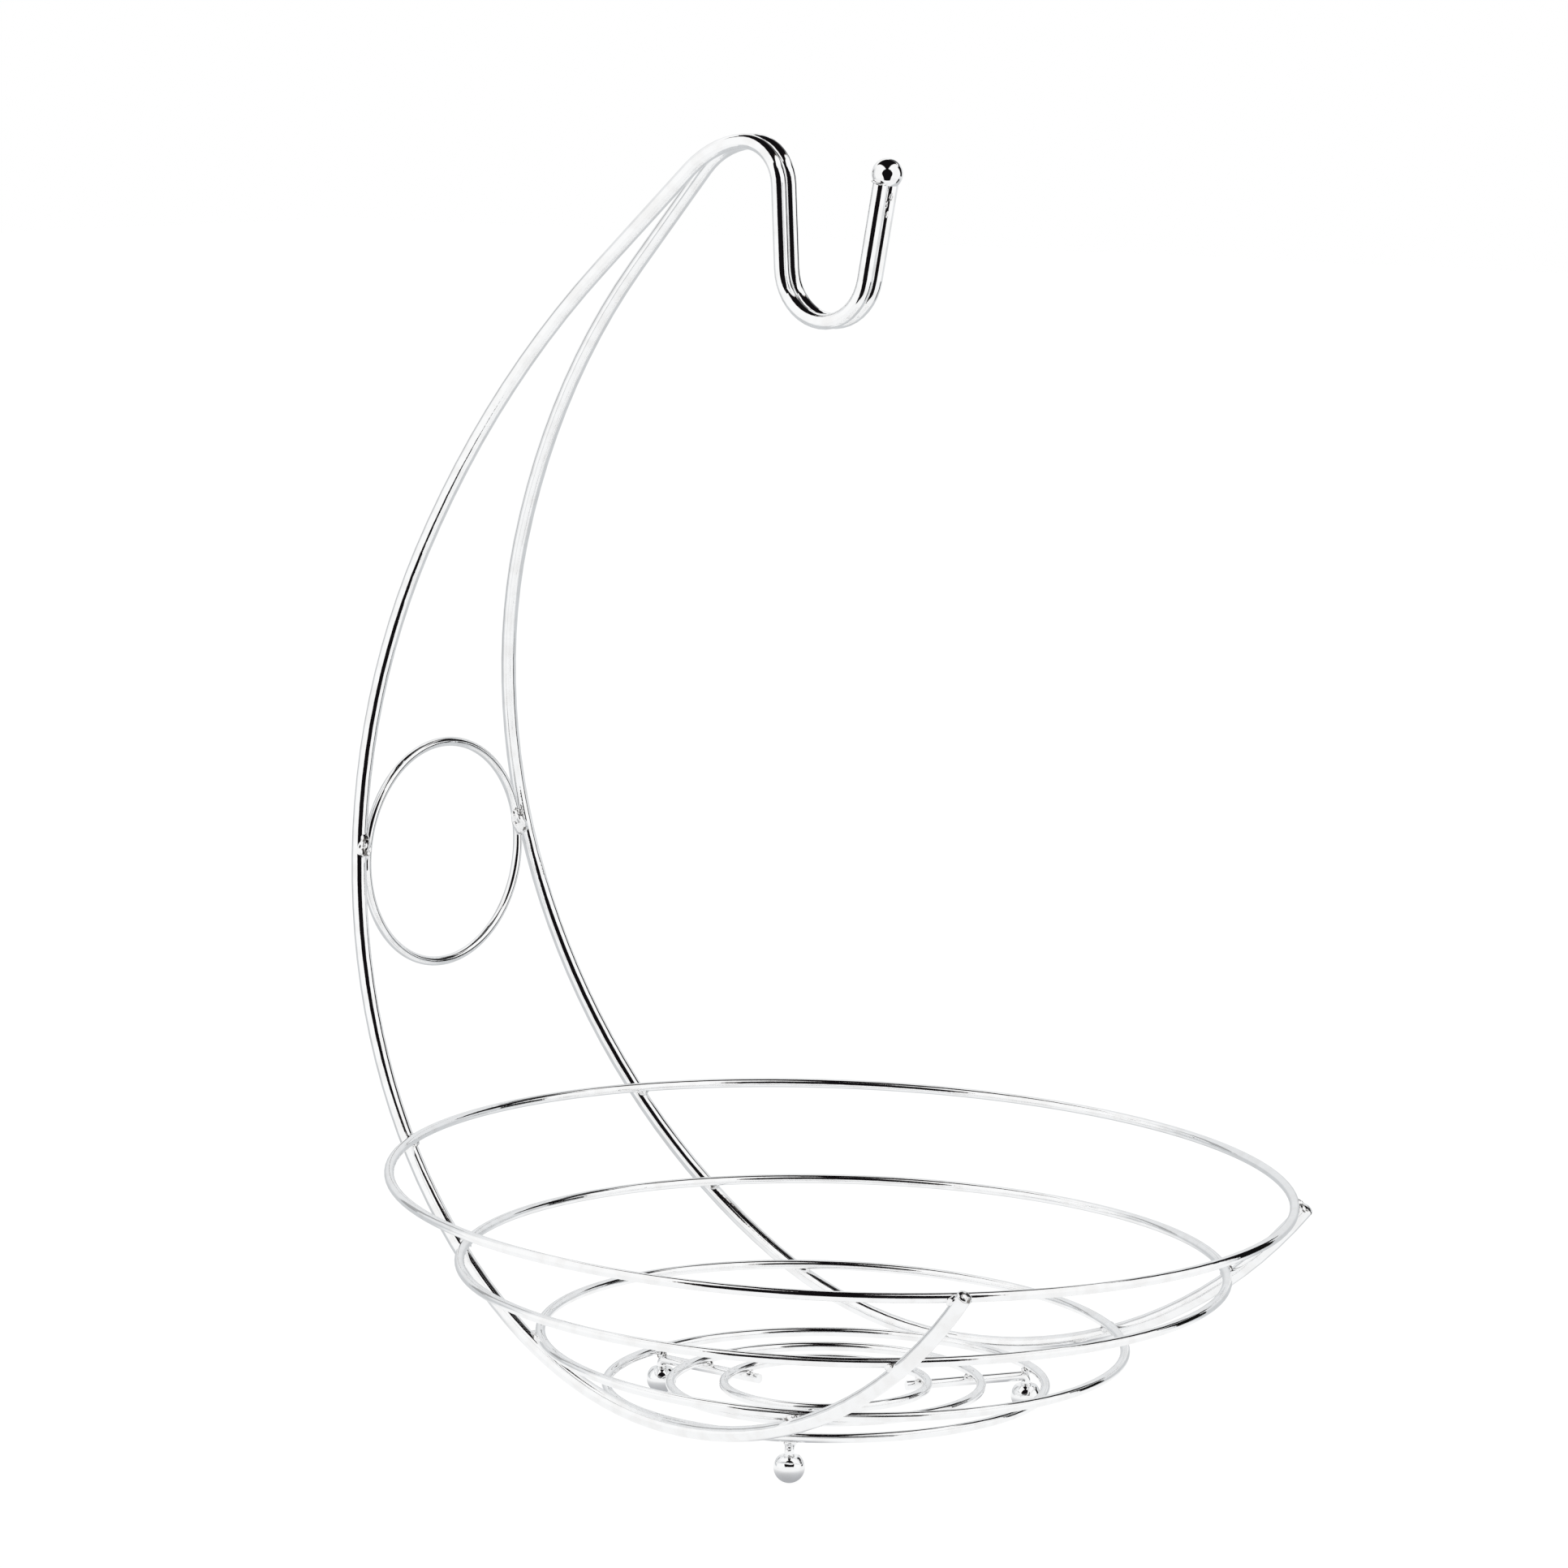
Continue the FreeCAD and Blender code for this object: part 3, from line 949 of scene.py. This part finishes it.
@dataclass
class Hanger:
    """The two long wires, the ring between them and the ball on the hook."""

    wires: tuple[str, ...] = ("hanger_wire_left", "hanger_wire_right")
    wire_radius: float = 2.4 * MM
    bead_width: float = 2.4 * MM
    bead_height: float = 2.2 * MM
    bead_ragged: float = 0.34
    bead_seeds: Seeds = Seeds(11.0, 0.53)
    bead_forward: float = 3.0 * MM
    hook_lean: float = math.radians(11.3)
    hook_drop: float = 3.1 * MM
    hook_size: float = 8.0 * MM
    wires_apart: float = 1.01
    drop_share: float = 1.06
    drop_height: float = 0.9 * MM
    drop_ragged: float = 0.3
    drop_seeds: Seeds = Seeds(14.0, 0.7)
    lumps: tuple[Lump, ...] = (
        Lump(0.9 * MM, -0.4, 2.3 * MM), Lump(4.2 * MM, 0.3, 1.5 * MM),
        Lump(6.6 * MM, -0.2, 1.7 * MM), Lump(9.6 * MM, 0.2, 1.2 * MM))
    lump_sunk: float = 0.98
    lump_slender: float = 2.4
    lump_height: float = 0.45 * MM
    lump_ragged: float = 0.4
    lump_seeds: Seeds = Seeds(17.0, 0.9)
    cap_share: float = 0.99
    cap_height: float = 1.1 * MM
    welds: dict[str, list[Contact]] = field(default_factory=dict)

    def survey(self) -> None:
        """Finds the welds."""
        self.welds["ornament_ring"] = [
            c for wire in self.wires for c in Joint("ornament_ring", wire).contacts()]
        self.welds["hook_ball"] = self._hook_contacts()
        report_welds(self.welds)

    def _hook_contacts(self) -> list[Contact]:
        """Places the weld metal under the hook's ball.

        Returns:
            One place on each wire's end, then the lumps that ran down the right wire.
        """
        low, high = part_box("hook_ball")
        middle = (low + high) / 2
        run = Vector((math.sin(self.hook_lean), 0.0, math.cos(self.hook_lean)))
        flat = middle - run * self.hook_drop
        side = Vector((0.0, 1.0, 0.0))
        front = run.cross(side)
        spots = [Contact(flat + side * (sign * self.wire_radius * self.wires_apart),
                         run, side, front, 0.0) for sign in (-1.0, 1.0)]
        toward = Viewpoint().toward
        facing = (toward - toward.project(run)).normalized()
        beside = run.cross(toward).normalized()
        right = flat + side * (self.wire_radius * self.wires_apart)
        for lump in self.lumps:
            out = facing * math.cos(lump.turn) + beside * math.sin(lump.turn)
            spot = right - run * lump.down + out * (self.wire_radius * self.lump_sunk)
            spots.append(Contact(spot, out, run, run, 0.0))
        return spots

    def build(self, weld: bpy.types.Material) -> None:
        """Makes the weld beads and the domed wire ends.

        Args:
            weld: their finish.
        """
        forward = Viewpoint().toward * self.bead_forward
        beads = [Bead(Contact(c.place + forward, c.across, c.first_run, c.second_run, c.gap),
                      self.bead_width, self.bead_height, self.bead_ragged, self.bead_seeds.at(k))
                 for k, c in enumerate(self.welds["ornament_ring"])]
        bead_piece("ornament_ring_welds", beads, weld)

        found = self.welds["hook_ball"]
        ends, runs = found[:2], found[2:]
        drops = [Bead(c, self.wire_radius * self.drop_share, self.drop_height, self.drop_ragged,
                      self.drop_seeds.at(k)) for k, c in enumerate(ends)]
        drops += [Bead(c, lump.size / self.lump_slender, self.lump_height, self.lump_ragged,
                       self.lump_seeds.at(k)) for k, (c, lump) in enumerate(zip(runs, self.lumps))]
        bead_piece("hook_ball_welds", drops, weld)
        bead_piece("rib_end_domes", self._domes(), weld)

    def _domes(self) -> list[Bead]:
        """Makes a low dome for each wire end that is not at the hook's ball.

        Returns:
            The domes.
        """
        low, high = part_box("hook_ball")
        ball = (low + high) / 2
        domes = []
        for wire in self.wires:
            for middle, out in flat_ends(wire, self.wire_radius):
                if (middle - ball).length > self.hook_size:
                    side = out.orthogonal().normalized()
                    end = Contact(middle, out, side, out.cross(side), 0.0)
                    domes.append(Bead(end, self.wire_radius * self.cap_share, self.cap_height, 0.0))
        log.info("%d rib ends", len(domes))
        return domes


@dataclass(frozen=True)
class Shade:
    """An upright dim strip of the room, beside and behind the object."""

    turn: float
    low: float
    high: float
    half_width: float
    depth: float
    soft: float = 0.05
    fade: float = 0.1

    def amount(self, a: Signal, b: Signal, z: Signal) -> Signal:
        """How dim a direction is.

        Args:
            a: part of the direction toward the camera.
            b: part of it to the side.
            z: part of it upward.

        Returns:
            0 outside the strip, the strip's depth inside it.
        """
        off = abs(b * math.cos(self.turn) - a * math.sin(self.turn))
        half = math.sin(self.half_width)
        across = (1.0 - off.step(half, half + self.soft)) * (-a).step(0.0, self.fade)
        beside = -b if self.turn < 0 else b
        across = across * beside.step(0.0, self.fade)
        bottom, top = math.sin(self.low), math.sin(self.high)
        upright = z.step(bottom - self.soft, bottom) * (1.0 - z.step(top, top + self.soft))
        return across * upright * self.depth


@dataclass(frozen=True)
class Card:
    """A sheet that stands on the floor, facing the object, and shows in the plate only."""

    name: str
    turn: float
    distance: float
    half_width: float
    top: float
    colour: Colour


@dataclass(frozen=True)
class Studio:
    """White floor in a light tent, which is open in front and has a seam over the top.

    The tent's widths and heights are in tent radii, and those on the floor in metres.
    A span is where something starts to fade and where it has gone.
    """

    view: Viewpoint
    world_light: Colour = grey(0.8)
    white: Colour = grey(1.0)
    dark: Colour = (0.006, 0.005, 0.006, 1.0)
    fringe: Colour = (0.10, 0.075, 0.065, 1.0)
    fringe_at: float = 0.4
    tent_radius: float = 0.82
    tent_rounds: int = 6
    opening_foot: float = 0.48
    opening_half: float = 0.55
    opening_wide: float = math.radians(28.0)
    opening_high: float = math.radians(60.0)
    opening_close: Span = (0.99, 1.01)
    opening_least: Span = (0.005, 0.03)
    seam_half: float = 0.095
    seam_flare: float = 0.40
    seam_end: float = math.radians(108.0)
    seam_fade: float = 0.1
    soft: float = 0.05
    backdrop_low: Colour = (0.612, 0.628, 0.642, 1.0)
    backdrop_high: Colour = (0.80, 0.81, 0.82, 1.0)
    backdrop_side: Span = (0.12, 0.28)
    backdrop_top: Span = (0.66, 0.86)
    backdrop_blend: Span = (0.02, 0.30)
    shades: tuple[Shade, ...] = (
        Shade(math.radians(120), math.radians(20), math.radians(52), math.radians(10), 1.0),
        Shade(math.radians(152), math.radians(48), math.radians(76), math.radians(7), 0.9),
        Shade(math.radians(-126), math.radians(6), math.radians(40), math.radians(4), 0.50),
    )
    cards: tuple[Card, ...] = (
        Card("white_card", 0.0, 0.30, 0.35, 0.067, grey(0.96, -0.003)),
        Card("dark_card", math.radians(106), 0.42, 0.064, 0.225, grey(0.006)),
    )
    floor_half: float = 6.0
    floor_paint: Colour = grey(0.9)
    floor_glow: float = 1.05
    floor_share: float = 0.90
    table_white: Colour = grey(0.96, -0.003)
    table_edge: float = 0.30
    table_half: float = 0.14
    table_flare: float = 0.55
    table_start: Span = (0.0, 0.04)
    table_blur: float = 0.02
    table_blur_growth: float = 0.1
    front_turn: Span = (-0.25, 0.0)
    front_near: Span = (0.10, 0.20)
    foot_shadow: Colour = (0.42, 0.43, 0.45, 1.0)
    foot_reach: float = 0.024
    lamp_energy: float = 9.0
    lamp_size: float = 1.2
    lamp_forward: float = 0.9
    lamp_aside: float = 1.2
    lamp_height: float = 1.5

    def build(self) -> None:
        """Makes the world, the floor, the tent and the lamps, and sets how colours are shown."""
        self._world()
        self._floor()
        self._tent()
        for card in self.cards:
            self._stand(card)
        self._lamps()
        bpy.context.scene.view_settings.view_transform = "Standard"

    def _axes(self, sheet: Sheet, where: Signal) -> tuple[Signal, Signal]:
        """Splits a place into its parts toward the camera and to the side.

        Args:
            sheet: the nodes.
            where: the place.

        Returns:
            The part toward the camera and the part to the side.
        """
        return (sheet.vector("DOT_PRODUCT", "Value", where, tuple(self.view.toward)),
                sheet.vector("DOT_PRODUCT", "Value", where, tuple(self.view.aside)))

    def _opening(self, over: Signal) -> Signal:
        """Half the width of the tent's opening and of the seam that goes on from it.

        Args:
            over: how far a place has turned from the front's foot over the top, in radians.

        Returns:
            The half width, 0 where the tent is closed.
        """
        flare = (self.opening_half - self.opening_foot) / self.opening_wide
        foot = self.opening_foot + over * flare
        rise = (over - self.opening_wide).most(0.0) / (self.opening_high - self.opening_wide)
        arch = (1.0 - rise * rise).most(0.0) ** 0.5 * self.opening_half
        opening = foot.least(arch) * (1.0 - rise.step(*self.opening_close))
        past = (over - self.opening_high).most(0.0)
        seam = past * self.seam_flare + self.seam_half
        seam = seam * over.step(self.opening_high - self.seam_fade, self.opening_high)
        seam = seam * (1.0 - over.step(self.seam_end, self.seam_end + self.seam_fade))
        return opening.most(seam)

    def _walls(self, sheet: Sheet, a: Signal, b: Signal, z: Signal) -> Signal:
        """Colour of the tent at a place, as the plate shows it.

        Args:
            sheet: the nodes.
            a: part of the place toward the camera, in tent radii.
            b: part of it to the side.
            z: part of it upward.

        Returns:
            The colour.
        """
        width = self._opening(z.angle_over(a))
        lit = abs(b).step(width - self.soft / 2, width + self.soft / 2)
        lit = lit.most(1.0 - width.step(*self.opening_least))
        stops = [(0.0, self.dark), (self.fringe_at, self.fringe), (1.0, self.white)]
        seen = sheet.signal("ShaderNodeValToRGB", "Color", {"stops": stops}, {0: lit})
        far = (-a).step(*self.backdrop_side) * (1.0 - z.step(*self.backdrop_top))
        backdrop = sheet.mix(z.step(*self.backdrop_blend), self.backdrop_low, self.backdrop_high)
        seen = sheet.mix(far, seen, backdrop)
        for shade in self.shades:
            seen = sheet.mix(shade.amount(a, b, z), seen, self.dark)
        return seen

    def _world(self) -> None:
        """Makes the world, which looks white and lights every side."""
        world = bpy.data.worlds.new("studio")
        bpy.context.scene.world = world
        world.use_nodes = True
        sheet = Sheet(world.node_tree)
        path = sheet.node("ShaderNodeLightPath")
        colour = sheet.mix(path.outputs["Is Camera Ray"], self.world_light, self.white)
        back = sheet.node("ShaderNodeBackground", None, {"Color": colour, "Strength": 1.0})
        sheet.node("ShaderNodeOutputWorld", None, {"Surface": back.outputs[0]})

    def _set(self, name: str, mesh: bmesh.types.BMesh,
             material: bpy.types.Material) -> bpy.types.Object:
        """Adds a piece of the studio.

        Args:
            name: its name.
            mesh: its mesh, which is freed.
            material: its finish.

        Returns:
            The piece.
        """
        data = bpy.data.meshes.new(name)
        mesh.to_mesh(data)
        mesh.free()
        data.materials.append(material)
        piece = bpy.data.objects.new(name, data)
        bpy.context.scene.collection.objects.link(piece)
        return piece

    def _tent(self) -> None:
        """Puts the tent round the object, where only the plate's reflections show it."""
        material, sheet = new_material("tent_cloth")
        place = sheet.place()
        a, b = self._axes(sheet, place)
        z = sheet.vector("DOT_PRODUCT", "Value", place, (0.0, 0.0, 1.0))
        colour = self._walls(sheet, *(part / self.tent_radius for part in (a, b, z)))
        sheet.surface(sheet.glow(colour))
        mesh = bmesh.new()
        bmesh.ops.create_icosphere(mesh, subdivisions=self.tent_rounds, radius=self.tent_radius)
        self._hide(self._set("tent", mesh, material))

    def _stand(self, card: Card) -> None:
        """Stands a card on the floor.

        Args:
            card: the card.
        """
        material, sheet = new_material(card.name)
        sheet.surface(sheet.glow(card.colour))
        mesh = bmesh.new()
        made = bmesh.ops.create_grid(mesh, x_segments=1, y_segments=1, size=0.5)
        out = self.view.toward * math.cos(card.turn) + self.view.aside * math.sin(card.turn)
        across = Vector((0.0, 0.0, 1.0)).cross(out)
        turn = Matrix((across * (2 * card.half_width), Vector((0.0, 0.0, card.top)), out))
        spot = out * card.distance + Vector((0.0, 0.0, card.top / 2))
        bmesh.ops.transform(mesh, matrix=Matrix.Translation(spot) @ turn.transposed().to_4x4(),
                            verts=made["verts"])
        self._hide(self._set(card.name, mesh, material))

    @staticmethod
    def _hide(piece: bpy.types.Object) -> None:
        """Leaves a piece to be seen in the plate only."""
        piece.visible_camera = piece.visible_diffuse = piece.visible_shadow = False
        piece.visible_transmission = piece.visible_volume_scatter = False

    def _floor(self) -> None:
        """Makes the floor: pale to the camera, and a table's end where the plate mirrors it."""
        material, sheet = new_material("floor_white")
        path = sheet.node("ShaderNodeLightPath")
        paint = sheet.node("ShaderNodeBsdfDiffuse", None, {"Color": self.floor_paint})
        pale = sheet.blend(self.floor_share, paint, sheet.glow(self.white, self.floor_glow))
        mirrored = sheet.glow(self._table(sheet))
        other = sheet.blend(path.outputs["Is Glossy Ray"], paint, mirrored)
        sheet.surface(sheet.blend(path.outputs["Is Camera Ray"], other, pale))
        mesh = bmesh.new()
        bmesh.ops.create_grid(mesh, x_segments=1, y_segments=1, size=self.floor_half)
        self._set("floor", mesh, material)

    def _table(self, sheet: Sheet) -> Signal:
        """Colour of the floor as the plate shows it.

        Args:
            sheet: the floor's nodes.

        Returns:
            White in front, grey behind, shadow round the feet and dark beyond the table's edge.
        """
        place = sheet.place()
        a, b = self._axes(sheet, place)
        away = sheet.vector("LENGTH", "Value", place)
        beyond = (a - self.table_edge).most(0.0)
        width = beyond * self.table_flare + self.table_half
        outer = width + beyond * self.table_blur_growth + self.table_blur
        gap = beyond.step(*self.table_start) * (1.0 - abs(b).step(width, outer))
        front = (a / away).step(*self.front_turn) + (1.0 - away.step(*self.front_near))
        shown = sheet.mix(front.least(1.0), self.backdrop_low, self.table_white)
        nearest = sheet.nearest(place, self._feet())
        shown = sheet.mix(nearest.step(0.0, self.foot_reach), self.foot_shadow, shown)
        return sheet.mix(gap, shown, self.dark)

    @staticmethod
    def _feet() -> list[tuple[float, float, float]]:
        """Gives where the ball feet stand.

        Returns:
            The point of the floor under the middle of each ball.
        """
        spots = []
        for side in Side:
            low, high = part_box(f"foot_ball_{side}")
            spots.append(((low.x + high.x) / 2, (low.y + high.y) / 2, 0.0))
        return spots

    def _lamps(self) -> None:
        """Hangs a wide soft lamp on each side of the camera."""
        for name, side in (("left_lamp", -1.0), ("right_lamp", 1.0)):
            data = bpy.data.lights.new(name, "AREA")
            data.shape = "DISK"
            data.size = self.lamp_size
            data.energy = self.lamp_energy
            lamp = bpy.data.objects.new(name, data)
            spot = (self.view.toward * self.lamp_forward + self.view.aside * side * self.lamp_aside
                    + Vector((0, 0, self.lamp_height)))
            turn = spot.to_track_quat("Z", "Y").to_matrix().to_4x4()
            lamp.matrix_world = Matrix.Translation(spot) @ turn
            lamp.visible_glossy = False
            bpy.context.scene.collection.objects.link(lamp)


def main() -> None:
    """Builds the studio and the object's sub-assemblies, and dresses them."""
    logging.basicConfig(level=logging.INFO, format="%(name)s: %(message)s")
    view = Viewpoint()
    view.make()
    Studio(view).build()

    bowl, base, hanger = Bowl(), Base(), Hanger()
    weld = WeldFinish("weld_metal").make()
    places: dict[str, list[Vector]] = {}
    for assembly in (bowl, base, hanger):
        assembly.survey()
        assembly.build(weld)
        for name, found in assembly.welds.items():
            places[name] = [contact.place for contact in found]

    rim_spots = [p for ring in bowl.rings for p in places[ring]]
    base_spots = [p for name in base.welds for p in places[name]]
    rib_spots = rim_spots + places["base_ring_outer_to_ribs"] + places["ornament_ring"]
    dress(bowl.rings, PlatedFinish("bowl_ring_plate").make(rim_spots))
    dress(base.rings + tuple(f"foot_spoke_{side}" for side in base.sides),
          PlatedFinish("base_ring_plate").make(base_spots))
    dress(["ornament_ring"], PlatedFinish("ornament_plate").make(places["ornament_ring"]))
    dress(hanger.wires, PlatedFinish("hanger_plate").make(rib_spots))
    dress([f"foot_ball_{side}" for side in base.sides] + ["hook_ball"],
          PlatedFinish("ball_plate", smooth=0.02, satin=0.05).make([]))


if __name__ == "__main__":
    main()
